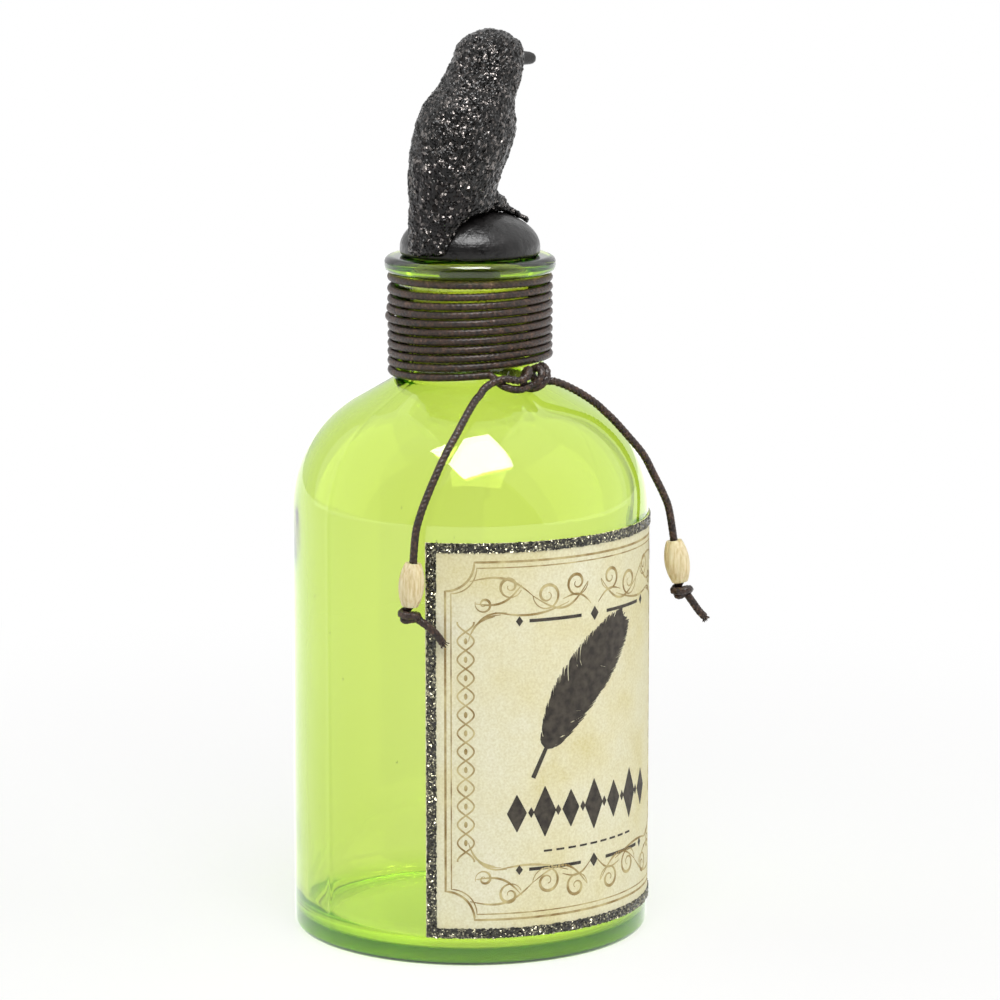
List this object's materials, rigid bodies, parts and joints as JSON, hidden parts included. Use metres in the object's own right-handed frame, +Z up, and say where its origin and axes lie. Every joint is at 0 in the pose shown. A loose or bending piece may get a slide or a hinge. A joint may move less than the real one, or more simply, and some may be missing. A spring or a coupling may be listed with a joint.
{
  "type": "decorative bottle",
  "caption": "Round green glass bottle with a paper label, a cord-wound neck with beaded tails, and a cork stopper topped by a small bird on a mound.",
  "frame": {"origin": "on the bottle's axis, at the plane that its base rests on", "axes": "+Z up along the bottle's axis; the label faces -Y; the bird faces about +X"},
  "size_m": [0.088, 0.089, 0.2227],
  "materials": {
    "green_glass": "clear yellow-green pressed glass, polished",
    "parchment_paper": "matte cream paper with printed brown ornament",
    "black_glitter": "black glitter bound in clear lacquer, sparkling",
    "waxed_cord": "brown waxed cotton cord, braided, low sheen",
    "pale_wood": "unvarnished pale wood, turned smooth",
    "natural_cork": "natural cork with small pores",
    "black_resin": "black cast resin, satin"
  },
  "bodies": {
    "bottle": {"glass_bottle": "green_glass", "paper_label": "parchment_paper", "label_border": "black_glitter", "neck_winding": "waxed_cord", "tie_knot": "waxed_cord", "tail_left": "waxed_cord", "tail_right": "waxed_cord", "end_knot_left": "waxed_cord", "end_knot_right": "waxed_cord", "tail_tip_left": "waxed_cord", "tail_tip_right": "waxed_cord"},
    "cork": {"cork_plug": "natural_cork"},
    "bird": {"stopper_dowel": "black_resin", "perch_mound": "black_resin", "bird_figure": "black_glitter"},
    "left_bead": {"bead_left": "pale_wood"},
    "right_bead": {"bead_right": "pale_wood"}
  },
  "joints": [
    {"name": "stopper_lift", "type": "slide", "parent": "bottle", "child": "cork", "axis": [0, 0, 1], "range_m": [0, 0.045]},
    {"name": "stopper_turn", "type": "hinge", "parent": "cork", "child": "bird", "pos_m": [0, 0, 0.16], "axis": [0, 0, 1], "continuous": true},
    {"name": "bead_left_slide", "type": "slide", "parent": "bottle", "child": "left_bead", "axis": [0.057, -0.057, 0.9968], "range_m": [0, 0.005]},
    {"name": "bead_right_slide", "type": "slide", "parent": "bottle", "child": "right_bead", "axis": [-0.1098, 0.1098, 0.9879], "range_m": [0, 0.005]}
  ]
}
